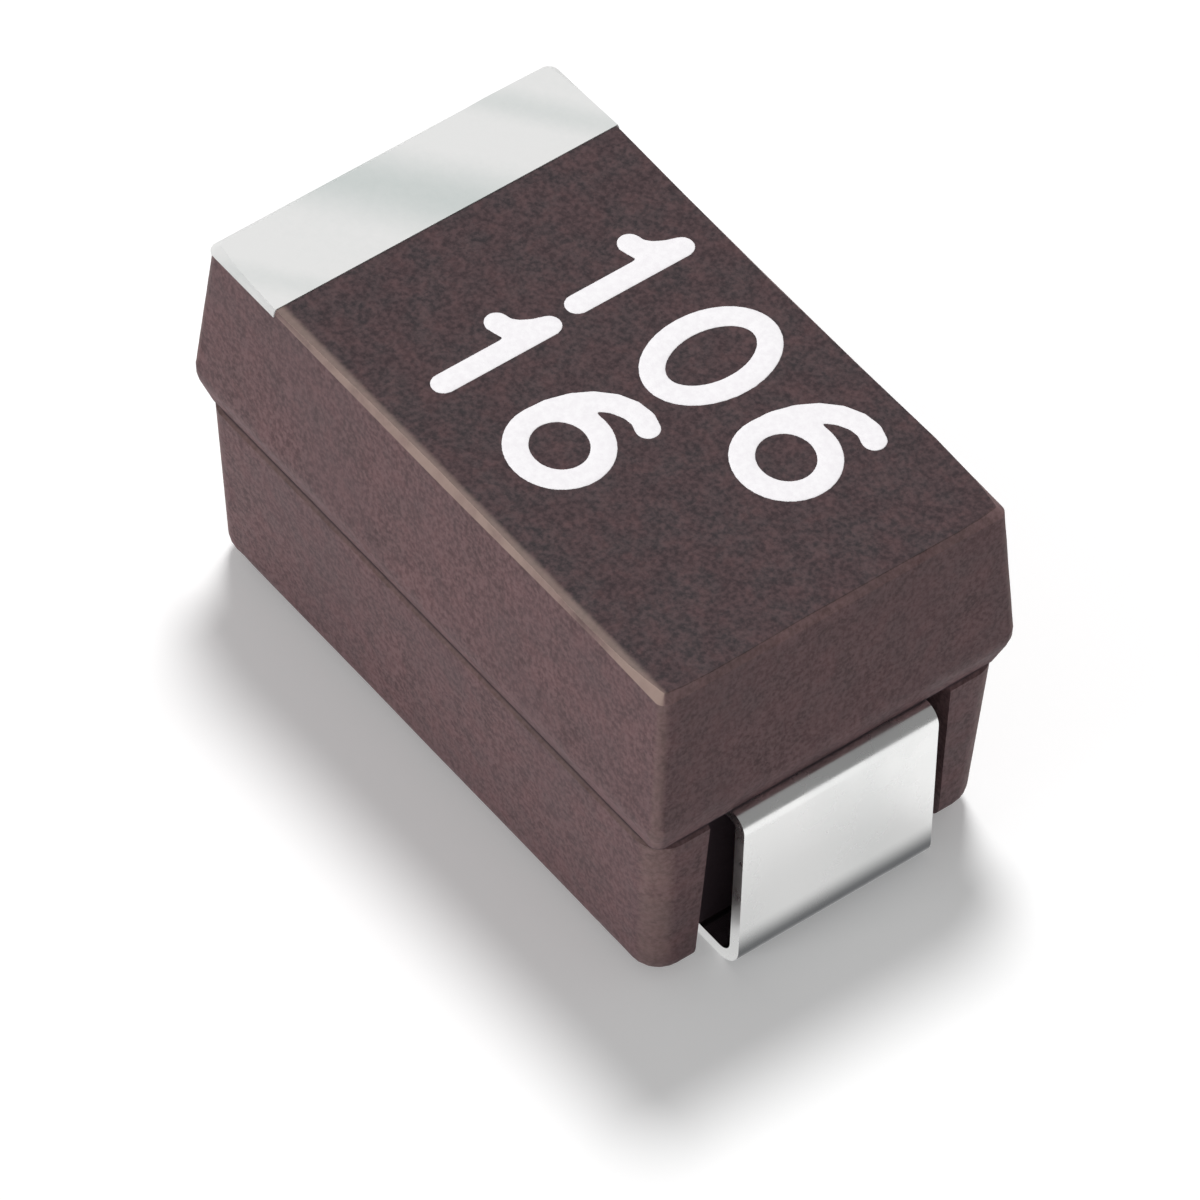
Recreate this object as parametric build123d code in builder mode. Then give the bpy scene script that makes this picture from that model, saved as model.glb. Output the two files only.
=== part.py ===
from build123d import *
from math import radians, tan
import os

os.makedirs("parts", exist_ok=True)

# Moulded surface-mount tantalum capacitor, millimetres.
# The origin is on the board under the middle of the part, +X runs along the
# length to the cathode end, -X is the anode end with the printed band, +Z is up.

# Moulded case
overall_length = 7.3
overall_height = 4.2
body_length = 7.12
body_width = 4.2
standoff = 0.1
split_height = 2.12
widest_height = 2.45
upper_draft = 4.0
lower_draft = 2.8
hood_inset = 0.115
hood_rounding = 0.4
lower_step = 0.08
groove_bevel = 0.04
corner_radius = 0.11
lower_corner_radius = 0.32
top_bevel = 0.08
bottom_rounding = 0.22

# End pockets, foot recesses and ejector marks in the lower half
pocket_depth = 0.35
pocket_width = 2.78
pocket_draft = 1.0
recess_clearance = 0.1
foot_gap = 0.05
ejector_diameter = 0.8
ejector_spacing = 2.4
ejector_depth = 0.03

# Formed terminals
lead_thickness = 0.13
terminal_width = 2.25
foot_length = 1.3
exit_bend_radius = 0.18
foot_bend_radius = 0.28
inner_bend_radius = 0.15
lock_hole_diameter = 0.3
lock_hole_spacing = 1.2
lock_hole_inset = 0.22

# Sintered anode, its wire and its coats
pellet_length = 4.3
pellet_width = 3.0
pellet_height = 2.6
pellet_chamfer = 0.25
pellet_face_x = -2.05
wire_diameter = 0.4
wire_embedment = 2.6
wire_overlap = 0.5
weld_depth = 0.03
washer_diameter = 1.2
washer_thickness = 0.18
washer_to_tab = 0.22
coat_names = ("manganese_dioxide_coat", "graphite_coat", "silver_coat")
coat_thicknesses = (0.05, 0.03, 0.05)
coat_setbacks = (0.0, 0.15, 0.3)

# Cathode joint
adhesive_thickness = 0.05
adhesive_length = 1.7
adhesive_width = 1.9
paddle_margin = 0.15
step_gap = 0.15

# Printed polarity band
band_length = 1.05
ink_thickness = 0.012

# Values that follow from the sizes above
upper_draw = (overall_height - widest_height) * tan(radians(upper_draft))
lower_draw = (split_height - standoff) * tan(radians(lower_draft))
top_length = body_length - 2 * upper_draw
top_width = body_width - 2 * upper_draw
split_length = body_length - 2 * lower_step
split_width = body_width - 2 * lower_step
bottom_length = split_length - 2 * lower_draw
bottom_width = split_width - 2 * lower_draw
pocket_wall_x = split_length / 2 - pocket_depth
foot_tip_x = overall_length / 2 - foot_length
recess_height = lead_thickness + foot_gap
wire_z = split_height + wire_diameter / 2 - weld_depth
washer_face_x = pellet_face_x - washer_thickness
tab_tip_x = washer_face_x - washer_to_tab
coat_total = sum(coat_thicknesses)
element_end_x = pellet_face_x + pellet_length + coat_total
element_bottom = wire_z - pellet_height / 2 - coat_total
paddle_top = element_bottom - adhesive_thickness
step_x = element_end_x + step_gap
adhesive_x = element_end_x - coat_setbacks[-1] - adhesive_length / 2
paddle_tip_x = adhesive_x - adhesive_length / 2 - paddle_margin
lock_hole_x = pocket_wall_x - lock_hole_inset

# Cathode terminal: one strip that cradles the element, leaves the case at the
# split line, turns down the end face and tucks under as the solder foot.
with BuildPart() as cathode_terminal:
    with BuildSketch(Plane.XZ):
        with BuildLine():
            FilletPolyline(
                (paddle_tip_x, paddle_top),
                (step_x, paddle_top),
                (step_x, split_height),
                (overall_length / 2, split_height),
                (overall_length / 2, 0),
                (foot_tip_x, 0),
                radius=(inner_bend_radius, exit_bend_radius, exit_bend_radius, foot_bend_radius),
            )
            offset(amount=lead_thickness, side=Side.RIGHT)
        make_face()
    extrude(amount=terminal_width / 2, both=True)
    with BuildSketch(Plane.XY.offset(split_height)):
        with Locations((lock_hole_x, 0)):
            with GridLocations(0, lock_hole_spacing, 1, 2):
                Circle(lock_hole_diameter / 2)
    extrude(amount=-lead_thickness, mode=Mode.SUBTRACT)

# Anode wire, pressed into the tantalum powder before sintering.
with BuildPart() as anode_wire:
    with BuildSketch(Plane.YZ.offset(tab_tip_x - wire_overlap)):
        with Locations((0, wire_z)):
            Circle(wire_diameter / 2)
    extrude(amount=pellet_face_x + wire_embedment - tab_tip_x + wire_overlap)

# Anode terminal: the same foot and end bend, then a short flat tab for the weld.
with BuildPart() as anode_terminal:
    with BuildSketch(Plane.XZ):
        with BuildLine():
            FilletPolyline(
                (tab_tip_x, split_height),
                (-overall_length / 2, split_height),
                (-overall_length / 2, 0),
                (-foot_tip_x, 0),
                radius=(exit_bend_radius, foot_bend_radius),
            )
            offset(amount=lead_thickness, side=Side.LEFT)
        make_face()
    extrude(amount=terminal_width / 2, both=True)
    with BuildSketch(Plane.XY.offset(split_height)):
        with Locations((-lock_hole_x, 0)):
            with GridLocations(0, lock_hole_spacing, 1, 2):
                Circle(lock_hole_diameter / 2)
    extrude(amount=-lead_thickness, mode=Mode.SUBTRACT)
    add(anode_wire.part, mode=Mode.SUBTRACT)

# Pressed and sintered tantalum anode with chamfered long edges.
with BuildPart() as tantalum_pellet:
    with BuildSketch(Plane.YZ.offset(pellet_face_x)) as pellet_section:
        with Locations((0, wire_z)):
            Rectangle(pellet_width, pellet_height)
        chamfer(pellet_section.vertices(), length=pellet_chamfer)
    extrude(amount=pellet_length)
    add(anode_wire.part, mode=Mode.SUBTRACT)

# Insulating washer on the wire, against the bare face of the anode.
with BuildPart() as insulating_washer:
    with BuildSketch(Plane.YZ.offset(washer_face_x)):
        with Locations((0, wire_z)):
            Circle(washer_diameter / 2)
            Circle(wire_diameter / 2, mode=Mode.SUBTRACT)
    extrude(amount=washer_thickness)

# Dipped coats, each a cup over the last one that stops further from the wire.
coats = {}
under = 0
for coat_name, coat_thickness, coat_setback in zip(coat_names, coat_thicknesses, coat_setbacks):
    with BuildPart() as coat:
        with BuildSketch(Plane.YZ.offset(pellet_face_x + coat_setback)):
            add(pellet_section.sketch_local)
            offset(amount=under + coat_thickness, kind=Kind.INTERSECTION)
        extrude(amount=pellet_length + under + coat_thickness - coat_setback)
        with BuildSketch(Plane.YZ.offset(pellet_face_x + coat_setback)):
            add(pellet_section.sketch_local)
            offset(amount=under, kind=Kind.INTERSECTION)
        extrude(amount=pellet_length + under - coat_setback, mode=Mode.SUBTRACT)
    coats[coat_name] = coat
    under = under + coat_thickness

# Silver-filled adhesive between the silver coat and the cathode paddle.
with BuildPart() as silver_adhesive:
    with BuildSketch(Plane.XY.offset(paddle_top)):
        with Locations((adhesive_x, 0)):
            Rectangle(adhesive_length, adhesive_width)
    extrude(amount=adhesive_thickness)

# Upper half of the moulding: drafted walls, bevelled top, hood that turns in to the split line.
with BuildPart() as upper_half:
    with BuildSketch(Plane.XY.offset(split_height)):
        RectangleRounded(body_length - 2 * hood_inset, body_width - 2 * hood_inset, corner_radius)
    with BuildSketch(Plane.XY.offset(widest_height)):
        RectangleRounded(body_length, body_width, corner_radius)
    with BuildSketch(Plane.XY.offset(overall_height)):
        RectangleRounded(top_length, top_width, corner_radius)
    loft(ruled=True)
    chamfer(upper_half.faces().sort_by(Axis.Z)[-1].edges(), length=top_bevel)
    fillet(
        upper_half.edges().filter_by_position(Axis.Z, widest_height - 0.01, widest_height + 0.01),
        radius=hood_rounding,
    )

# Lower half of the moulding: set back, rounded at the bottom, open for the terminals.
with BuildPart() as lower_half:
    with BuildSketch(Plane.XY.offset(standoff)):
        RectangleRounded(bottom_length, bottom_width, lower_corner_radius)
    with BuildSketch(Plane.XY.offset(split_height - groove_bevel)):
        RectangleRounded(split_length, split_width, lower_corner_radius)
    with BuildSketch(Plane.XY.offset(split_height)):
        RectangleRounded(split_length - 2 * groove_bevel, split_width - 2 * groove_bevel, lower_corner_radius)
    loft(ruled=True)
    fillet(lower_half.faces().sort_by(Axis.Z)[0].edges(), radius=bottom_rounding)
    for end in (-1, 1):
        with BuildSketch(Plane.XY.offset(split_height)):
            with Locations((end * (pocket_wall_x + pocket_depth), 0)):
                Rectangle(2 * pocket_depth, pocket_width)
        extrude(amount=-split_height, taper=-pocket_draft, mode=Mode.SUBTRACT)
        with BuildSketch(Plane.XY):
            with Locations((end * (foot_tip_x - recess_clearance + pocket_wall_x) / 2, 0)):
                Rectangle(pocket_wall_x - foot_tip_x + recess_clearance, terminal_width + 2 * recess_clearance)
        extrude(amount=recess_height, mode=Mode.SUBTRACT)
    with BuildSketch(Plane.XY.offset(standoff)):
        with GridLocations(ejector_spacing, 0, 2, 1):
            Circle(ejector_diameter / 2)
    extrude(amount=ejector_depth, mode=Mode.SUBTRACT)

# The case is one moulding that fills every gap round the parts sealed in it.
sealed_in = [anode_terminal, cathode_terminal, anode_wire, insulating_washer, tantalum_pellet, silver_adhesive]
sealed_in = sealed_in + list(coats.values())
with BuildPart() as moulded_case:
    add(upper_half.part)
    add(lower_half.part)
    for piece in sealed_in:
        add(piece.part, mode=Mode.SUBTRACT)

# Printed band over the anode end of the top, down over the bevel on three sides.
with BuildPart() as polarity_band:
    with BuildSketch(Plane.XY.offset(widest_height)):
        RectangleRounded(body_length + 2 * ink_thickness, body_width + 2 * ink_thickness, corner_radius)
    with BuildSketch(Plane.XY.offset(overall_height + ink_thickness)):
        RectangleRounded(top_length + 2 * ink_thickness, top_width + 2 * ink_thickness, corner_radius)
    loft(ruled=True)
    chamfer(polarity_band.faces().sort_by(Axis.Z)[-1].edges(), length=top_bevel)
    split(bisect_by=Plane.XY.offset(overall_height - top_bevel), keep=Keep.TOP)
    top_end_x = polarity_band.part.bounding_box().min.X
    split(bisect_by=Plane.YZ.offset(top_end_x + band_length), keep=Keep.BOTTOM)
    add(upper_half.part, mode=Mode.SUBTRACT)

nodes = {
    "moulded_case": moulded_case,
    "polarity_band": polarity_band,
    "anode_terminal": anode_terminal,
    "cathode_terminal": cathode_terminal,
    "tantalum_pellet": tantalum_pellet,
    "anode_wire": anode_wire,
    "insulating_washer": insulating_washer,
    "silver_adhesive": silver_adhesive,
}
nodes.update(coats)
for node_name, node in nodes.items():
    node.part.label = node_name
    export_step(node.part, "parts/" + node_name + ".step")
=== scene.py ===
"""Dressed scene of a moulded surface-mount tantalum capacitor, in metres."""

import logging
from dataclasses import dataclass, field
from enum import Enum
from math import cos, pi, radians, sin

import bpy
from mathutils import Matrix, Vector


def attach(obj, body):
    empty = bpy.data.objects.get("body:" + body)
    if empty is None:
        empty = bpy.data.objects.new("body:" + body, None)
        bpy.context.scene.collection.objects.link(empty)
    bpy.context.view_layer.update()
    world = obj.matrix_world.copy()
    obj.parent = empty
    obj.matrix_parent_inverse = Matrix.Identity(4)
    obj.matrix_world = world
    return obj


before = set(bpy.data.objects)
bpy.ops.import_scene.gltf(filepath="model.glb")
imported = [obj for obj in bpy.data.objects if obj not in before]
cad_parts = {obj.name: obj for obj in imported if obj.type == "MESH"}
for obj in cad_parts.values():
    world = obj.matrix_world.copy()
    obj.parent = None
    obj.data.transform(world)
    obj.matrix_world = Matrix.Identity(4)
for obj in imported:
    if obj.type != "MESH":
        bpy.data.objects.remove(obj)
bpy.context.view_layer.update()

MM = 0.001
ROUGHNESS_RISE = 0.08
LOG = logging.getLogger("capacitor")

Colour = tuple[float, float, float]
Point2 = tuple[float, float]
Point3 = tuple[float, float, float]
Socket = bpy.types.NodeSocket
ShaderNode = bpy.types.Node
Outputs = bpy.types.NodeOutputs


class Pole(Enum):
    """The two terminals, by the node that carries each."""

    ANODE = "anode_terminal"
    CATHODE = "cathode_terminal"


class Shell(Enum):
    """The dipped coats of the element, from the inside out."""

    OXIDE = "manganese_dioxide_coat"
    GRAPHITE = "graphite_coat"
    SILVER = "silver_coat"


def linear(red: int, green: int, blue: int) -> Colour:
    """Turns an 8-bit screen colour into the linear colour a shader takes.

    Args:
        red: Red, 0 to 255.
        green: Green, 0 to 255.
        blue: Blue, 0 to 255.

    Returns:
        The three linear values.
    """
    def channel(value: int) -> float:
        """Undoes the screen curve for one channel."""
        part = value / 255
        return part / 12.92 if part <= 0.04045 else ((part + 0.055) / 1.055) ** 2.4

    return channel(red), channel(green), channel(blue)


class NodeSheet:
    """A thin layer over a node tree that adds, sets and joins nodes."""

    def __init__(self, tree: bpy.types.NodeTree) -> None:
        """Keeps the tree that the nodes go into."""
        self.tree = tree

    def add(self, kind: str, **settings: object) -> ShaderNode:
        """Adds one node and sets its own settings.

        Args:
            kind: The node's Blender type name.
            **settings: Settings of the node, such as operation or data_type.

        Returns:
            The new node.
        """
        node = self.tree.nodes.new(kind)
        for name, value in settings.items():
            setattr(node, name, value)
        return node

    def join(self, source: Socket, target: Socket) -> None:
        """Links one socket to another."""
        self.tree.links.new(source, target)

    def feed(self, target: Socket, value: object) -> None:
        """Links a socket, or sets a plain value.

        Args:
            target: The input that takes the value.
            value: A socket to link, or a number, colour or vector to set.
        """
        if isinstance(value, Socket):
            self.join(value, target)
        else:
            target.default_value = value

    def math(
        self, operation: str, first: object, second: object = 0.0, clamp: bool = False
    ) -> Socket:
        """Adds a Math node and returns its output."""
        node = self.add("ShaderNodeMath", operation=operation, use_clamp=clamp)
        self.feed(node.inputs[0], first)
        self.feed(node.inputs[1], second)
        return node.outputs[0]

    def plus(self, first: object, second: object) -> Socket:
        """Adds two values."""
        return self.math("ADD", first, second)

    def minus(self, first: object, second: object) -> Socket:
        """Takes the second value from the first."""
        return self.math("SUBTRACT", first, second)

    def times(self, first: object, second: object) -> Socket:
        """Multiplies two values."""
        return self.math("MULTIPLY", first, second)

    def size(self, value: object) -> Socket:
        """Drops the sign of a value."""
        return self.math("ABSOLUTE", value)

    def share(self, first: object, second: object, part: float) -> Socket:
        """Adds two masks, the second with the given part of the weight."""
        return self.plus(self.times(first, 1.0 - part), self.times(second, part))

    def split(self, kind: str, output: str) -> ShaderNode:
        """Splits a vector that a node gives into X, Y and Z.

        Args:
            kind: The node's Blender type name.
            output: The name of its output.

        Returns:
            The node with the three parts.
        """
        parts = self.add("ShaderNodeSeparateXYZ")
        self.join(self.add(kind).outputs[output], parts.inputs[0])
        return parts

    def place(self) -> ShaderNode:
        """Returns the point's place on the object, in metres."""
        return self.split("ShaderNodeTexCoord", "Object")

    def facing(self) -> ShaderNode:
        """Returns the way the surface faces."""
        return self.split("ShaderNodeNewGeometry", "Normal")

    def ramp(
        self, value: object, low: float, high: float, to_low: float = 0.0, to_high: float = 1.0
    ) -> Socket:
        """Adds a smooth Map Range from low..high to to_low..to_high and returns its output."""
        node = self.add("ShaderNodeMapRange", interpolation_type="SMOOTHSTEP")
        self.feed(node.inputs["Value"], value)
        node.inputs["From Min"].default_value = low
        node.inputs["From Max"].default_value = high
        node.inputs["To Min"].default_value = to_low
        node.inputs["To Max"].default_value = to_high
        return node.outputs["Result"]

    def mix(self, factor: object, first: object, second: object) -> Socket:
        """Mixes two colours and returns the result."""
        node = self.add("ShaderNodeMix", data_type="RGBA")
        self.feed(node.inputs[0], factor)
        self.feed(node.inputs[6], (*first, 1.0) if isinstance(first, tuple) else first)
        self.feed(node.inputs[7], (*second, 1.0) if isinstance(second, tuple) else second)
        return node.outputs[2]

    def noise(
        self, vector: Socket, scale: object, detail: float = 3.0, rough: float = 0.5
    ) -> Socket:
        """Adds a Noise Texture and returns its factor."""
        node = self.add("ShaderNodeTexNoise")
        self.join(vector, node.inputs["Vector"])
        self.feed(node.inputs["Scale"], scale)
        node.inputs["Detail"].default_value = detail
        node.inputs["Roughness"].default_value = rough
        return node.outputs["Fac"]

    def group(self, tree: bpy.types.NodeTree, **values: object) -> ShaderNode:
        """Places a node group and feeds its named inputs."""
        node = self.add("ShaderNodeGroup", node_tree=tree)
        for name, value in values.items():
            self.feed(node.inputs[name.replace("_", " ")], value)
        return node


class EffectLibrary:
    """The shader groups that several finishes share, each built once."""

    def __init__(self) -> None:
        """Builds every group."""
        self.grain = self._grain()
        self.edge_wear_and_highlight = self._edge_wear_and_highlight()
        self.streak = self._streak()

    @staticmethod
    def _start(
        name: str, inputs: dict[str, float], outputs: tuple[str, ...]
    ) -> tuple[NodeSheet, ShaderNode, ShaderNode]:
        """Opens a group whose sockets are all plain numbers.

        Args:
            name: The group's name.
            inputs: The inputs' names and defaults.
            outputs: The outputs' names.

        Returns:
            The group's node sheet, its input node and its output node.
        """
        tree = bpy.data.node_groups.new(name, "ShaderNodeTree")
        for title, default in inputs.items():
            socket = tree.interface.new_socket(name=title, in_out="INPUT", socket_type="NodeSocketFloat")
            socket.default_value = default
        for title in outputs:
            tree.interface.new_socket(name=title, in_out="OUTPUT", socket_type="NodeSocketFloat")
        sheet = NodeSheet(tree)
        return sheet, sheet.add("NodeGroupInput"), sheet.add("NodeGroupOutput")

    def _grain(self) -> bpy.types.NodeTree:
        """Mottle and fine grain of a filled or sintered material.

        Returns:
            The group, with a cloudy mask, a speckle mask and a height.
        """
        sheet, into, out = self._start(
            "mottled grain",
            {"Cloud Scale": 1500.0, "Speck Scale": 9000.0},
            ("Cloud", "Speck", "Height"),
        )
        place = sheet.add("ShaderNodeTexCoord").outputs["Object"]
        cloud = sheet.noise(place, into.outputs["Cloud Scale"], detail=4.0, rough=0.6)
        speck = sheet.noise(place, into.outputs["Speck Scale"], detail=5.0, rough=0.65)
        sheet.join(sheet.ramp(cloud, 0.32, 0.68), out.inputs["Cloud"])
        sheet.join(sheet.ramp(speck, 0.34, 0.66), out.inputs["Speck"])
        sheet.join(sheet.plus(sheet.times(cloud, 0.4), speck), out.inputs["Height"])
        return sheet.tree

    def _edge_wear_and_highlight(self) -> bpy.types.NodeTree:
        """Marks the narrow faces that turn between two main sides, for painted highlights and wear.

        Returns:
            The group, with a mask for the top bevel, weighted toward the near long side as a painted
            highlight, and one for the upright corners' wear.
        """
        sheet, into, out = self._start("edge wear and highlight", {"Break Scale": 4000.0}, ("Bevel", "Corner"))
        place = sheet.add("ShaderNodeTexCoord").outputs["Object"]
        normal = sheet.facing()
        rise = normal.outputs["Z"]
        bevel = sheet.times(sheet.ramp(rise, 0.30, 0.50), sheet.ramp(rise, 0.88, 0.96, 1.0, 0.0))
        # Bevels facing the near long side take full weight and the rest only 0.12: a painted highlight
        # where the light falls.
        lit_side_weight = sheet.ramp(sheet.times(normal.outputs["Y"], -1.0), 0.35, 0.6, 0.12, 1.0)
        bevel = sheet.times(bevel, lit_side_weight)
        across = sheet.size(sheet.times(normal.outputs["X"], normal.outputs["Y"]))
        breaks = sheet.noise(place, into.outputs["Break Scale"])
        broken = sheet.ramp(breaks, 0.2, 0.6, 0.55, 1.0)
        sheet.join(sheet.times(bevel, broken), out.inputs["Bevel"])
        sheet.join(sheet.times(sheet.ramp(across, 0.12, 0.45), broken), out.inputs["Corner"])
        return sheet.tree

    def _streak(self) -> bpy.types.NodeTree:
        """Long soft streaks along one axis, from rolling, drawing or wiping.

        Returns:
            The group, with a broad streak, a fine streak and a height.
        """
        sheet, into, out = self._start(
            "soft streaks",
            {"Along X": 300.0, "Along Y": 4000.0, "Along Z": 300.0, "Fine Scale": 3.0},
            ("Broad", "Fine", "Height"),
        )
        stretch = sheet.add("ShaderNodeCombineXYZ")
        for axis in "XYZ":
            sheet.join(into.outputs["Along " + axis], stretch.inputs[axis])
        place = sheet.add("ShaderNodeVectorMath", operation="MULTIPLY")
        sheet.join(sheet.add("ShaderNodeTexCoord").outputs["Object"], place.inputs[0])
        sheet.join(stretch.outputs[0], place.inputs[1])
        broad = sheet.noise(place.outputs[0], 1.0, detail=2.0)
        fine = sheet.noise(place.outputs[0], into.outputs["Fine Scale"], detail=4.0, rough=0.6)
        sheet.join(sheet.ramp(broad, 0.3, 0.7), out.inputs["Broad"])
        sheet.join(sheet.ramp(fine, 0.35, 0.65), out.inputs["Fine"])
        sheet.join(fine, out.inputs["Height"])
        return sheet.tree


class Finish:
    """Base of every finish: opens a material with one Principled BSDF."""

    name: str = "finish"
    roughness: float = 0.5

    def start(self) -> tuple[bpy.types.Material, NodeSheet, ShaderNode]:
        """Opens the material.

        Returns:
            The material, its node sheet and its Principled BSDF.
        """
        material = bpy.data.materials.new(self.name)
        material.use_nodes = True
        sheet = NodeSheet(material.node_tree)
        return material, sheet, material.node_tree.nodes["Principled BSDF"]

    def uneven(self, sheet: NodeSheet, shader: ShaderNode, cloud: Socket, below: float) -> None:
        """Lets the roughness drift with a cloudy mask.

        Args:
            sheet: The material's node sheet.
            shader: Its Principled BSDF.
            cloud: The mask, 0 to 1.
            below: How far the roughness falls under its middle.
        """
        low, high = self.roughness - below, self.roughness + ROUGHNESS_RISE
        sheet.join(sheet.ramp(cloud, 0.0, 1.0, low, high), shader.inputs["Roughness"])

    def bump(
        self, sheet: NodeSheet, shader: ShaderNode, height: Socket, depth: float, strength: float
    ) -> None:
        """Puts a bump of a real depth on the shader.

        Args:
            sheet: The material's node sheet.
            shader: Its Principled BSDF.
            height: The height, 0 to 1.
            depth: Depth of the relief in metres.
            strength: Strength of the Bump node.
        """
        node = sheet.add("ShaderNodeBump")
        node.inputs["Strength"].default_value = strength
        node.inputs["Distance"].default_value = depth
        sheet.join(height, node.inputs["Height"])
        sheet.join(node.outputs["Normal"], shader.inputs["Normal"])


@dataclass(frozen=True)
class MouldingFinish(Finish):
    """Silica-filled moulding epoxy: brown-black, fine grain, paler on worn upright corners; painted
    highlights on the near rim and bevels, painted shade on the top face and in the pockets, and a
    painted shadow under the split line.

    Attributes:
        side: Light tone of the walls.
        side_dark: Dark tone of the walls.
        side_cool: Cooler tone of broad patches on the walls.
        top: Light tone of the top face, darker than the walls' as painted shade.
        top_dark: Dark tone of the top face, likewise darker as painted shade.
        wear_and_highlight_tone: Colour of the wear on the upright corners and of the painted highlights
            on the near rim and bevels.
        split_and_pocket_shade: Colour of the painted shadow under the split line and of the painted
            shade on the pockets' back walls.
        warm: Redder tone of small patches.
        top_from: Height above which the top tones show.
        rim_highlight_from: Distance from the middle at which the near rim's painted highlight begins.
        rim_highlight_full: Distance at which it is full.
        bevel_highlight_from: Height at which the bevels' painted highlight starts to grow.
        bevel_highlight_full: Height at which it is full.
        split_at: Height of the split line.
        pocket_wall: Distance from the middle to a pocket's back wall.
        pocket_half_width: Half the width of a pocket.
        soft: Width of a mask's soft border.
        speck_part: Share of the fine specks in the mottle.
        patch_part: Share of the larger patches in it.
        cool_part: Strength of the cool patches.
        warm_part: Strength of the warm patches.
        corner_wear: Wear of the upright corners.
        groove_highlight_part: Painted highlight on the bevels low down.
        bevel_highlight_part: Painted highlight on the top bevels.
        rim_highlight_part: Painted highlight on the near rim.
        split_shadow_part: Strength of the painted shadow under the split line.
        roughness: Roughness of the moulding.
        relief: Depth of the grain.
    """

    name: str = "moulding epoxy"
    side: Colour = linear(129, 101, 103)
    side_dark: Colour = linear(72, 50, 52)
    side_cool: Colour = linear(94, 80, 83)
    top: Colour = linear(90, 70, 72)
    top_dark: Colour = linear(31, 22, 27)
    wear_and_highlight_tone: Colour = linear(170, 148, 138)
    split_and_pocket_shade: Colour = linear(68, 56, 62)
    warm: Colour = linear(104, 70, 70)
    top_from: float = 4.19 * MM
    rim_highlight_from: float = 1.845 * MM
    rim_highlight_full: float = 1.92 * MM
    bevel_highlight_from: float = 4.0 * MM
    bevel_highlight_full: float = 4.1 * MM
    split_at: float = 2.12 * MM
    pocket_wall: float = 3.13 * MM
    pocket_half_width: float = 1.39 * MM
    soft: float = 0.06 * MM
    speck_part: float = 0.65
    patch_part: float = 0.18
    cool_part: float = 0.3
    warm_part: float = 0.15
    corner_wear: float = 0.16
    groove_highlight_part: float = 0.25
    bevel_highlight_part: float = 0.8
    rim_highlight_part: float = 0.45
    split_shadow_part: float = 0.8
    roughness: float = 0.62
    relief: float = 0.006 * MM

    def build(self, effects: EffectLibrary) -> bpy.types.Material:
        """Makes the material.

        Args:
            effects: The shared shader groups.

        Returns:
            The finished material.
        """
        material, sheet, shader = self.start()
        grain = sheet.group(effects.grain, Cloud_Scale=2600.0, Speck_Scale=19000.0).outputs
        patch = sheet.group(effects.grain, Cloud_Scale=900.0, Speck_Scale=5000.0).outputs
        place = sheet.place().outputs
        on_top = sheet.ramp(place["Z"], self.top_from, self.top_from + 0.005 * MM)
        mottle = sheet.share(grain["Cloud"], grain["Speck"], self.speck_part)
        mottle = sheet.share(mottle, patch["Speck"], self.patch_part)
        wall = sheet.mix(mottle, self.side_dark, self.side)
        wall = sheet.mix(sheet.times(patch["Cloud"], self.cool_part), wall, self.side_cool)
        # The top face takes darker tones than the walls: painted shade on one copy of the same epoxy.
        shaded_lid = sheet.mix(mottle, self.top_dark, self.top)
        body = sheet.mix(on_top, wall, shaded_lid)
        body = sheet.mix(sheet.ramp(patch["Speck"], 0.5, 1.0, 0.0, self.warm_part), body, self.warm)
        # Wear on the upright corners, then painted highlights on the near rim and the bevels.
        for mask in self._wear_and_highlight_masks(sheet, effects, place, on_top):
            body = sheet.mix(mask, body, self.wear_and_highlight_tone)
        # Painted shadow under the split line's overhang.
        body = sheet.mix(self._split_line_shadow(sheet, place["Z"]), body, self.split_and_pocket_shade)
        # Painted shade on the pockets' back walls.
        body = sheet.mix(self._pocket_shade(sheet, place), body, self.split_and_pocket_shade)
        sheet.join(body, shader.inputs["Base Color"])
        self.uneven(sheet, shader, grain["Cloud"], 0.06)
        shader.inputs["Specular IOR Level"].default_value = 0.2
        self.bump(sheet, shader, grain["Height"], self.relief, 0.5)
        return material

    def _wear_and_highlight_masks(
        self, sheet: NodeSheet, effects: EffectLibrary, place: Outputs, on_top: Socket
    ) -> list[Socket]:
        """Masks the upright corners, where handling wears them, and the top's near rim and the bevels,
        which carry a painted highlight.

        Args:
            sheet: The material's node sheet.
            effects: The shared shader groups.
            place: The three parts of the point's place.
            on_top: Mask of the top face.

        Returns:
            The masks in the order they are laid on.
        """
        edge = sheet.group(effects.edge_wear_and_highlight, Break_Scale=3500.0).outputs
        near = sheet.times(place["Y"], -1.0)
        # The near rim of the top and the bevels carry a painted highlight.
        rim = sheet.ramp(near, self.rim_highlight_from, self.rim_highlight_full, 0.0, self.rim_highlight_part)
        high = sheet.ramp(
            place["Z"], self.bevel_highlight_from, self.bevel_highlight_full, self.groove_highlight_part, self.bevel_highlight_part
        )
        corner = sheet.times(edge["Corner"], self.corner_wear)
        return [corner, sheet.times(rim, on_top), sheet.times(edge["Bevel"], high)]

    def _split_line_shadow(self, sheet: NodeSheet, rise: Socket) -> Socket:
        """Masks a painted shadow in the groove under the split line's overhang."""
        low, high = self.split_at - 0.02 * MM, self.split_at + 0.03 * MM
        below = sheet.ramp(rise, low, low + 0.015 * MM)
        above = sheet.ramp(rise, high - 0.018 * MM, high, 1.0, 0.0)
        return sheet.times(sheet.times(below, above), self.split_shadow_part)

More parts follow.
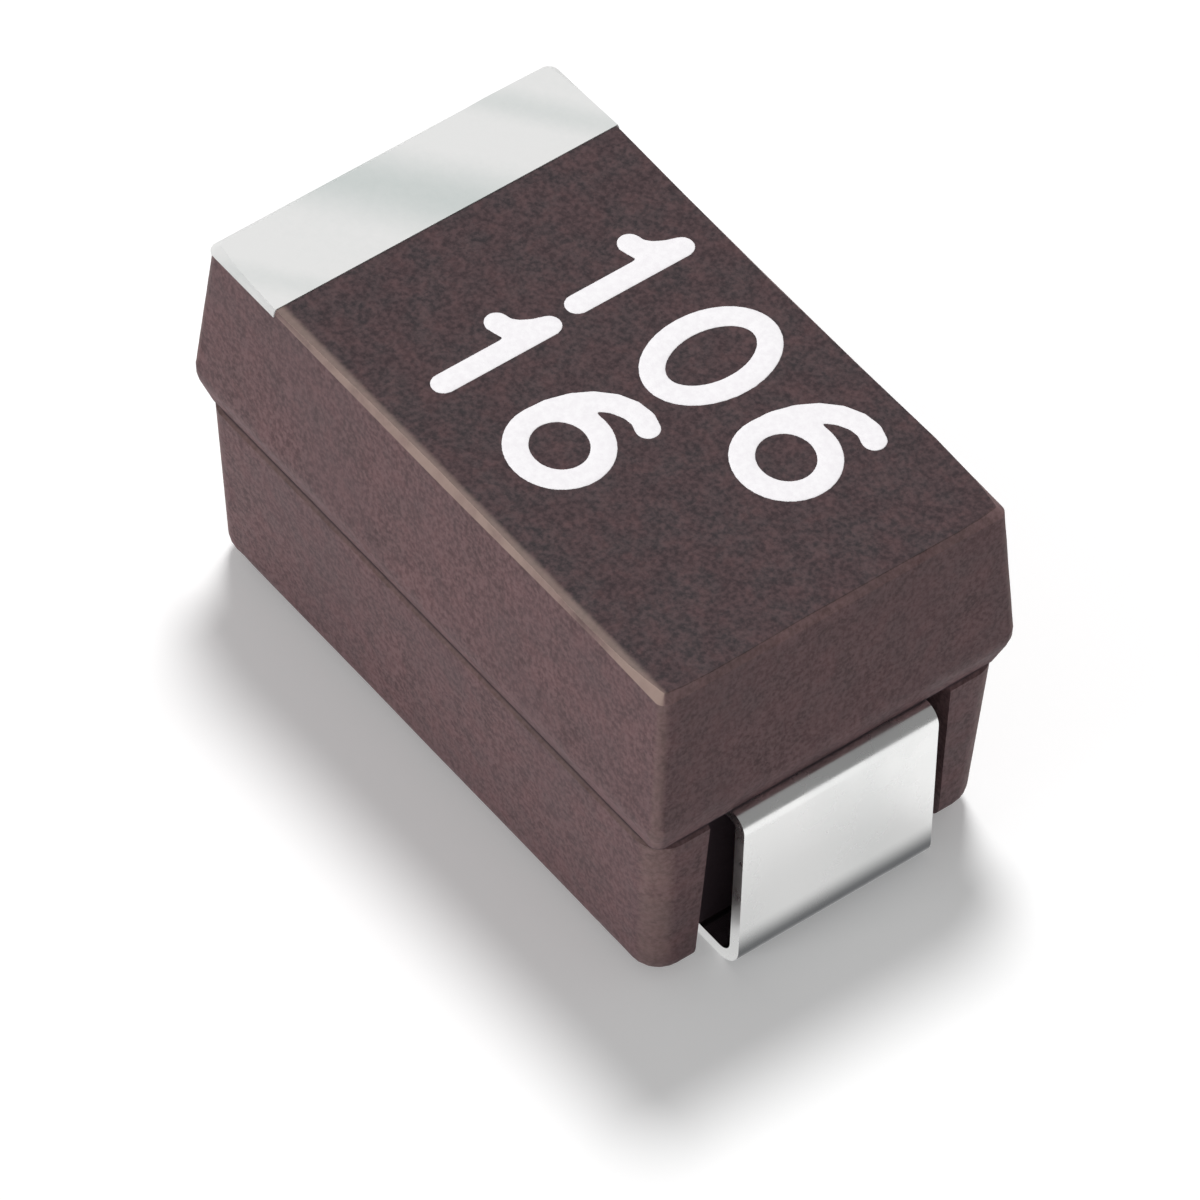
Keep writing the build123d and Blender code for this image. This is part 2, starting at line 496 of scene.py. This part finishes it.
    def _pocket_shade(self, sheet: NodeSheet, place: Outputs) -> Socket:
        """Masks the back wall of each end pocket, which takes painted shade."""
        wall, side = self.pocket_wall, self.pocket_half_width
        out = sheet.size(place["X"])
        near = sheet.ramp(out, wall + 0.02 * MM, wall + self.soft, 1.0, 0.0)
        far = sheet.ramp(out, wall - 2 * self.soft, wall - self.soft)
        inside = sheet.ramp(sheet.size(place["Y"]), side, side + self.soft, 1.0, 0.0)
        under = sheet.ramp(place["Z"], self.split_at, self.split_at + 0.01 * MM, 1.0, 0.0)
        return sheet.times(sheet.times(near, far), sheet.times(inside, under))


@dataclass(frozen=True)
class SilverInkFinish(Finish):
    """Printed silver-grey ink with soft streaks, and darker slanting bands that are painted reflections
    and painted shade.

    Attributes:
        pale: Colour of the full ink.
        streak_and_reflection_grey: Darker colour, shown in the random streaks and in the painted
            reflection bands.
        roughness: Roughness of the ink.
        reflection_bands: Each painted reflection band's middle and half width in millimetres, and its
            depth; the last band is painted shade along the near edge.
        reflection_origin: Distance from the part's middle at which the middles are measured.
        reflection_lean: How far a band moves across for each step along the part.
    """

    name: str = "silver ink"
    pale: Colour = linear(226, 226, 225)
    streak_and_reflection_grey: Colour = linear(196, 202, 200)
    roughness: float = 0.55
    reflection_bands: tuple[Point3, ...] = ((-0.1, 0.85, 0.95), (1.55, 0.36, 0.5), (-1.9, 0.3, 0.35))
    reflection_origin: float = 2.9 * MM
    reflection_lean: float = 0.75

    def build(self, effects: EffectLibrary) -> bpy.types.Material:
        """Makes the material.

        Args:
            effects: The shared shader groups.

        Returns:
            The finished material.
        """
        material, sheet, shader = self.start()
        streak = sheet.group(effects.streak, Along_X=700.0, Along_Y=500.0, Along_Z=400.0, Fine_Scale=6.0)
        grain = sheet.group(effects.grain, Cloud_Scale=1200.0, Speck_Scale=12000.0)
        place = sheet.place().outputs
        lean = sheet.times(sheet.plus(place["X"], self.reflection_origin), self.reflection_lean)
        slant = sheet.minus(place["Y"], lean)
        blotch = sheet.times(streak.outputs["Broad"], 0.12)
        tone = sheet.minus(1.1, sheet.plus(blotch, sheet.times(grain.outputs["Speck"], 0.08)))
        # Darker slanting bands: painted reflections on the ink, the last one painted shade along the
        # near edge.
        for centre, half, depth in self.reflection_bands:
            off = sheet.size(sheet.minus(slant, centre * MM))
            tone = sheet.minus(tone, sheet.ramp(off, 0.0, half * MM, depth, 0.0))
        tone = sheet.math("MULTIPLY", tone, 1.0, clamp=True)
        sheet.join(sheet.mix(tone, self.streak_and_reflection_grey, self.pale), shader.inputs["Base Color"])
        shader.inputs["Roughness"].default_value = self.roughness
        shader.inputs["Specular IOR Level"].default_value = 0.4
        self.bump(sheet, shader, grain.outputs["Height"], 0.003 * MM, 0.4)
        return material


@dataclass(frozen=True)
class WhiteInkFinish(Finish):
    """White marking ink of the numerals."""

    name: str = "white ink"
    pale: Colour = linear(253, 251, 253)
    thin: Colour = linear(246, 243, 246)

    def build(self, effects: EffectLibrary) -> bpy.types.Material:
        """Makes the material.

        Args:
            effects: The shared shader groups.

        Returns:
            The finished material.
        """
        material, sheet, shader = self.start()
        grain = sheet.group(effects.grain, Cloud_Scale=2500.0, Speck_Scale=14000.0)
        sheet.join(sheet.mix(grain.outputs["Speck"], self.thin, self.pale), shader.inputs["Base Color"])
        shader.inputs["Roughness"].default_value = 0.6
        shader.inputs["Specular IOR Level"].default_value = 0.3
        self.bump(sheet, shader, grain.outputs["Height"], 0.002 * MM, 0.4)
        return material


@dataclass(frozen=True)
class TinFinish(Finish):
    """Matte tin plating over a rolled strip.

    Attributes:
        bright: Colour of fresh plating.
        dull: Colour in the broad streaks.
        foot_shade: Dark colour painted on the outside of the foot's bend as shade and reflection.
        foot_shade_from: Height at which the painted shade begins.
        foot_shade_full: Height at which it is full.
        foot_shade_part: Its strength there.
        roughness: Roughness of the plating.
    """

    name: str = "tinned strip"
    bright: Colour = linear(248, 248, 247)
    dull: Colour = linear(240, 241, 240)
    foot_shade: Colour = linear(52, 56, 62)
    foot_shade_from: float = 0.6 * MM
    foot_shade_full: float = 0.2 * MM
    foot_shade_part: float = 0.93
    roughness: float = 0.24

    def build(self, effects: EffectLibrary) -> bpy.types.Material:
        """Makes the material.

        Args:
            effects: The shared shader groups.

        Returns:
            The finished material.
        """
        material, sheet, shader = self.start()
        streak = sheet.group(effects.streak, Along_X=200.0, Along_Y=900.0, Along_Z=200.0, Fine_Scale=5.0)
        grain = sheet.group(effects.grain, Cloud_Scale=1100.0, Speck_Scale=16000.0)
        plated = sheet.mix(streak.outputs["Broad"], self.dull, self.bright)
        rise = sheet.place().outputs["Z"]
        # Darker towards the foot on the outward faces: painted shade and reflection, not plating colour.
        foot = sheet.ramp(rise, self.foot_shade_full, self.foot_shade_from, self.foot_shade_part, 0.0)
        outward = sheet.ramp(sheet.size(sheet.facing().outputs["X"]), 0.1, 0.5)
        colour = sheet.mix(sheet.times(foot, outward), plated, self.foot_shade)
        sheet.join(colour, shader.inputs["Base Color"])
        shader.inputs["Metallic"].default_value = 1.0
        self.uneven(sheet, shader, grain.outputs["Cloud"], 0.05)
        self.bump(sheet, shader, grain.outputs["Height"], 0.0008 * MM, 0.15)
        return material


@dataclass(frozen=True)
class GrainyFinish(Finish):
    """A dull grainy solid, such as sintered powder, an oxide, carbon or a filled paint."""

    name: str = "grainy solid"
    light: Colour = linear(90, 90, 94)
    dark: Colour = linear(60, 60, 63)
    roughness: float = 0.8
    metallic: float = 0.0
    cloud_scale: float = 1500.0
    speck_scale: float = 12000.0
    relief: float = 0.01 * MM

    def build(self, effects: EffectLibrary) -> bpy.types.Material:
        """Makes the material.

        Args:
            effects: The shared shader groups.

        Returns:
            The finished material.
        """
        material, sheet, shader = self.start()
        grain = sheet.group(effects.grain, Cloud_Scale=self.cloud_scale, Speck_Scale=self.speck_scale)
        sheet.join(sheet.mix(grain.outputs["Speck"], self.dark, self.light), shader.inputs["Base Color"])
        self.uneven(sheet, shader, grain.outputs["Cloud"], 0.08)
        shader.inputs["Metallic"].default_value = self.metallic
        self.bump(sheet, shader, grain.outputs["Height"], self.relief, 0.7)
        return material


@dataclass(frozen=True)
class WireFinish(Finish):
    """Drawn tantalum wire, blue-grey with fine die lines along it."""

    name: str = "drawn tantalum"
    light: Colour = linear(170, 174, 182)
    dark: Colour = linear(138, 142, 150)

    def build(self, effects: EffectLibrary) -> bpy.types.Material:
        """Makes the material.

        Args:
            effects: The shared shader groups.

        Returns:
            The finished material.
        """
        material, sheet, shader = self.start()
        streak = sheet.group(
            effects.streak, Along_X=300.0, Along_Y=9000.0, Along_Z=9000.0, Fine_Scale=3.0
        )
        sheet.join(sheet.mix(streak.outputs["Fine"], self.dark, self.light), shader.inputs["Base Color"])
        shader.inputs["Metallic"].default_value = 1.0
        shader.inputs["Roughness"].default_value = 0.38
        self.bump(sheet, shader, streak.outputs["Height"], 0.002 * MM, 0.4)
        return material


def dress(node: str, material: bpy.types.Material) -> None:
    """Gives a CAD node its material in every slot.

    Args:
        node: The node's name.
        material: The finish it takes.
    """
    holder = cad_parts[node]
    if not holder.data.materials:
        holder.data.materials.append(material)
    for index in range(len(holder.data.materials)):
        holder.data.materials[index] = material
    LOG.info("dressed %s in %s", node, material.name)


@dataclass
class MouldedBody:
    """The moulding and the band printed across its anode end."""

    moulding: MouldingFinish = field(default_factory=MouldingFinish)
    ink: SilverInkFinish = field(default_factory=SilverInkFinish)

    def build(self, effects: EffectLibrary) -> None:
        """Dresses the case and the band."""
        dress("moulded_case", self.moulding.build(effects))
        dress("polarity_band", self.ink.build(effects))


@dataclass
class LeadFrame:
    """The two formed terminals."""

    tin: TinFinish = field(default_factory=TinFinish)

    def build(self, effects: EffectLibrary) -> None:
        """Dresses both terminals in one tin finish."""
        plating = self.tin.build(effects)
        for pole in Pole:
            dress(pole.value, plating)


@dataclass
class SealedElement:
    """Everything that the moulding hides: anode, wire, washer, coats and adhesive."""

    pellet: GrainyFinish = GrainyFinish(
        "sintered tantalum", linear(98, 99, 104), linear(62, 62, 66),
        roughness=0.75, metallic=0.6, cloud_scale=1800.0, speck_scale=9000.0, relief=0.012 * MM,
    )
    wire: WireFinish = WireFinish()
    washer: GrainyFinish = GrainyFinish(
        "washer resin", linear(240, 240, 236), linear(226, 226, 220),
        roughness=0.45, speck_scale=6000.0, relief=0.002 * MM,
    )
    adhesive: GrainyFinish = GrainyFinish(
        "silver adhesive", linear(196, 195, 190), linear(160, 159, 154),
        roughness=0.55, metallic=0.4, relief=0.008 * MM,
    )
    shells: dict[Shell, GrainyFinish] = field(default_factory=lambda: {
        Shell.OXIDE: GrainyFinish("manganese dioxide", linear(48, 45, 45), linear(28, 26, 26), 0.85),
        Shell.GRAPHITE: GrainyFinish("dried graphite", linear(46, 46, 49), linear(30, 30, 32), 0.6),
        Shell.SILVER: GrainyFinish(
            "silver paint", linear(205, 204, 198), linear(176, 175, 170), 0.5, 0.5
        ),
    })

    def build(self, effects: EffectLibrary) -> None:
        """Dresses each hidden piece."""
        dress("tantalum_pellet", self.pellet.build(effects))
        dress("anode_wire", self.wire.build(effects))
        dress("insulating_washer", self.washer.build(effects))
        dress("silver_adhesive", self.adhesive.build(effects))
        for shell, finish in self.shells.items():
            dress(shell.value, finish.build(effects))


@dataclass
class Stroke:
    """One pen stroke of a numeral, in the numeral's own unit square.

    Attributes:
        points: The pen's path, 0 to 1 up and about 0 to 0.6 across.
        closed: True where the stroke is a loop.
    """

    points: list[Point2]
    closed: bool = False


def arc(centre: Point2, radii: Point2, start: float, end: float, steps: int = 14) -> list[Point2]:
    """Points along part of an upright ellipse.

    Args:
        centre: Middle of the ellipse.
        radii: Half its width and half its height.
        start: First angle in degrees, anticlockwise from the right.
        end: Last angle in degrees.
        steps: Number of steps between them.

    Returns:
        The points, first to last.
    """
    turns = [radians(start + (end - start) * step / steps) for step in range(steps + 1)]
    return [(centre[0] + radii[0] * cos(turn), centre[1] + radii[1] * sin(turn)) for turn in turns]


class Numeral(Enum):
    """The numerals of the marking, each as its pen strokes."""

    ONE = "1"
    SIX = "6"
    ZERO = "0"

    def strokes(self) -> list[Stroke]:
        """Returns the strokes that draw the numeral."""
        if self is Numeral.ONE:
            stem = [(0.26, 1.0), (0.26, 0.5), (0.26, 0.0)]
            flag = [(0.0, 0.70), (0.08, 0.72), (0.16, 0.79), (0.22, 0.89), (0.26, 1.0)]
            return [Stroke(stem), Stroke(flag)]
        if self is Numeral.ZERO:
            return [Stroke(arc((0.345, 0.5), (0.345, 0.5), 90.0, 450.0, 36)[:-1], closed=True)]
        bowl = arc((0.345, 0.33), (0.345, 0.33), 0.0, 360.0, 36)
        back = [(0.0, 0.33), (0.01, 0.50), (0.06, 0.67), (0.14, 0.81)]
        back += [(0.25, 0.92), (0.38, 0.985), (0.50, 1.0), (0.60, 0.97)]
        return [Stroke(bowl[:-1], closed=True), Stroke(back)]

    def width(self) -> float:
        """Returns the pen's reach across, in units of the numeral's height."""
        return max(point[0] for stroke in self.strokes() for point in stroke.points)


@dataclass
class TopMarking:
    """Generic numerals in white ink on the top face.

    Attributes:
        rows: The text of each row with the middle of its first numeral, in millimetres.
        height: Height of the pen's path in one numeral.
        pen: Width of the pen stroke.
        pitch: Distance from one numeral's middle to the next.
        seat: Height of the face under the ink.
        ink_depth: Thickness of the ink.
        voxel: Cell size that joins the strokes into one skin.
    """

    rows: dict[str, Point2] = field(default_factory=lambda: {"106": (-1.0, 0.92), "16": (-0.94, -0.66)})
    height: float = 1.21
    pen: float = 0.25
    pitch: float = 1.385
    seat: float = 4.2
    ink_depth: float = 0.01
    voxel: float = 0.02
    ink: WhiteInkFinish = field(default_factory=WhiteInkFinish)

    def build(self, effects: EffectLibrary) -> None:
        """Draws every numeral and lays it on the top face."""
        material = self.ink.build(effects)
        for row, (text, start) in enumerate(self.rows.items()):
            for column, character in enumerate(text):
                numeral = Numeral(character)
                name = f"numeral_{row + 1}_{column + 1}"
                left = start[0] + column * self.pitch - numeral.width() * self.height / 2
                piece = self._numeral(numeral, name, (left, start[1] - self.height / 2))
                piece.data.materials.append(material)
                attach(piece, "root")
                LOG.info("drew %s", name)

    def _numeral(self, numeral: Numeral, name: str, corner: Point2) -> bpy.types.Object:
        """Draws one numeral as flat strokes of ink.

        Args:
            numeral: Which numeral.
            name: Name of the new piece.
            corner: Place of its lower left corner, in millimetres.

        Returns:
            The piece, with its place in its mesh.
        """
        curve = bpy.data.curves.new(name, "CURVE")
        curve.dimensions = "3D"
        curve.bevel_depth = self.pen / 2
        curve.bevel_resolution = 4
        curve.use_fill_caps = True
        for stroke in numeral.strokes():
            self._pen_path(curve, stroke, corner)
        piece = bpy.data.objects.new(name, curve)
        bpy.context.collection.objects.link(piece)
        bpy.ops.object.select_all(action="DESELECT")
        piece.select_set(True)
        bpy.context.view_layer.objects.active = piece
        bpy.ops.object.convert(target="MESH")
        bpy.ops.object.modifier_add(type="REMESH")
        piece.modifiers["Remesh"].mode = "VOXEL"
        piece.modifiers["Remesh"].voxel_size = self.voxel
        bpy.ops.object.modifier_apply(modifier="Remesh")
        bpy.ops.object.modifier_add(type="SMOOTH")
        piece.modifiers["Smooth"].iterations = 3
        bpy.ops.object.modifier_apply(modifier="Smooth")
        flatten = Matrix.Diagonal((MM, MM, MM * self.ink_depth / (self.pen / 2), 1.0))
        lift = Matrix.Translation((0.0, 0.0, self.seat * MM))
        piece.data.transform(lift @ flatten)
        bpy.ops.object.shade_smooth()
        return piece

    def _pen_path(self, curve: bpy.types.Curve, stroke: Stroke, corner: Point2) -> None:
        """Adds one stroke to a curve, with round ends where it is open.

        Args:
            curve: The curve that takes the stroke.
            stroke: The pen's path.
            corner: Place of the numeral's lower left corner, in millimetres.
        """
        path = [
            Vector((corner[0] + x * self.height, corner[1] + y * self.height, 0.0))
            for x, y in stroke.points
        ]
        spline = curve.splines.new("POLY")
        if stroke.closed:
            stations = [(point, 1.0) for point in path]
        else:
            stations = self._round_end(path[0], path[1]) + [(point, 1.0) for point in path]
            stations += list(reversed(self._round_end(path[-1], path[-2])))
        spline.points.add(len(stations) - 1)
        for target, (point, radius) in zip(spline.points, stations):
            target.co = (*point, 1.0)
            target.radius = radius
        spline.use_cyclic_u = stroke.closed

    def _round_end(self, tip: Vector, inner: Vector) -> list[tuple[Vector, float]]:
        """Stations that round off a stroke's end by half the pen's width.

        Args:
            tip: Last point of the path.
            inner: The point before it.

        Returns:
            The stations from the outermost inward, each with its radius.
        """
        away = (tip - inner).normalized() * self.pen / 2
        turns = [radians(angle) for angle in (2, 20, 40, 60, 75)]
        return [(tip + away * cos(turn), max(sin(turn), 0.03)) for turn in turns]


@dataclass
class Studio:
    """Floor, lights and camera.

    Attributes:
        target: Middle of the view, in millimetres.
        azimuth: Camera's turn from the near long side, in degrees.
        elevation: Camera's height angle, in degrees.
        roll: Camera's roll, in degrees.
        distance: Camera's distance, in millimetres.
        lens: Focal length for a 36 mm sensor.
        raise_by: How far the view is slid down the picture, in millimetres.
        floor_white: Grey of the floor's paint.
        floor_glow: Light the floor adds towards the camera, 1 being white.
        floor_gloss: Light the floor adds in reflections.
        world_level: Brightness of the even world.
    """

    target: Point3 = (0.0, 0.0, 2.1)
    azimuth: float = 51.09
    elevation: float = 49.14
    roll: float = 2.16
    distance: float = 118.9
    lens: float = 385.5
    raise_by: float = 0.685
    floor_white: float = 0.88
    floor_glow: float = 0.225
    floor_gloss: float = 0.56
    world_level: float = 0.26

    def build(self) -> None:
        """Sets up the whole studio."""
        self._camera()
        self._floor()
        self._world()
        self._lamp("high softbox", (-1.35, 1.07, 4.2), 200.0, 48.0, 0.72)
        self._lamp("side softbox", (-0.2, -3.0, 0.25), 200.0, 90.0, 0.49)

    def _camera(self) -> None:
        """Places the camera as the photograph was taken."""
        turn, rise, tilt = radians(self.azimuth), radians(self.elevation), radians(self.roll)
        back = Vector((sin(turn) * cos(rise), -cos(turn) * cos(rise), sin(rise)))
        right = Vector((cos(turn), sin(turn), 0.0))
        above = back.cross(right)
        side = right * cos(tilt) + above * sin(tilt)
        top = above * cos(tilt) - right * sin(tilt)
        middle = Vector(self.target) - top * self.raise_by
        data = bpy.data.cameras.new("camera")
        data.lens = self.lens
        data.sensor_width = 36.0
        data.clip_start = 0.01
        data.clip_end = 10.0
        camera = bpy.data.objects.new("camera", data)
        place = (middle + back * self.distance) * MM
        camera.matrix_world = Matrix.Translation(place) @ Matrix((side, top, back)).transposed().to_4x4()
        bpy.context.collection.objects.link(camera)
        bpy.context.scene.camera = camera

    def _floor(self) -> None:
        """Lays a pale floor that shows white and keeps the object's shadow; in reflections it shows half
        its paint plus a glow, a painted reflection.
        """
        bpy.ops.object.select_all(action="DESELECT")
        bpy.ops.mesh.primitive_plane_add(size=2.0, location=(0.0, 0.0, -0.002 * MM))
        floor = bpy.context.active_object
        floor.name = "floor"
        material = bpy.data.materials.new("floor white")
        material.use_nodes = True
        sheet = NodeSheet(material.node_tree)
        shader = material.node_tree.nodes["Principled BSDF"]
        shader.inputs["Roughness"].default_value = 0.9
        shader.inputs["Specular IOR Level"].default_value = 0.0
        shader.inputs["Emission Color"].default_value = (1.0, 1.0, 1.0, 1.0)
        rays = sheet.add("ShaderNodeLightPath").outputs
        seen = sheet.times(rays["Is Camera Ray"], self.floor_glow)
        # In reflections the floor's paint drops to half and a glow is added: a painted reflection on the
        # shiny parts.
        mirrored = sheet.times(rays["Is Glossy Ray"], self.floor_gloss)
        paint = sheet.mix(rays["Is Glossy Ray"], (self.floor_white,) * 3, (self.floor_white / 2,) * 3)
        sheet.join(paint, shader.inputs["Base Color"])
        sheet.join(sheet.plus(seen, mirrored), shader.inputs["Emission Strength"])
        floor.data.materials.append(material)

    def _world(self) -> None:
        """Gives an even pale world."""
        world = bpy.data.worlds.new("studio")
        world.use_nodes = True
        shade = world.node_tree.nodes["Background"]
        shade.inputs["Color"].default_value = (1.0, 1.0, 1.0, 1.0)
        shade.inputs["Strength"].default_value = self.world_level
        bpy.context.scene.world = world

    def _lamp(
        self, name: str, direction: Point3, distance: float, size: float, level: float
    ) -> None:
        """Adds one area lamp that points at the object.

        Args:
            name: The lamp's name.
            direction: Way from the object to the lamp.
            distance: Distance in millimetres.
            size: Side of the lamp in millimetres.
            level: Brightness it gives a white card that faces it, 1 being white.
        """
        data = bpy.data.lights.new(name, "AREA")
        data.shape = "DISK"
        data.size = size * MM
        data.energy = level * pi * pi * (distance * MM) ** 2
        lamp = bpy.data.objects.new(name, data)
        way = Vector(direction).normalized()
        place = Matrix.Translation((way * distance + Vector((0.0, 0.0, 2.0))) * MM)
        lamp.matrix_world = place @ way.to_track_quat("Z", "Y").to_matrix().to_4x4()
        bpy.context.collection.objects.link(lamp)


def main() -> None:
    """Builds the studio and dresses the part."""
    logging.basicConfig(level=logging.INFO, format="%(name)s: %(message)s")
    bpy.context.scene.view_settings.view_transform = "Standard"
    effects = EffectLibrary()
    Studio().build()
    for assembly in (MouldedBody(), LeadFrame(), SealedElement(), TopMarking()):
        assembly.build(effects)
        LOG.info("finished %s", type(assembly).__name__)


if __name__ == "__main__":
    main()
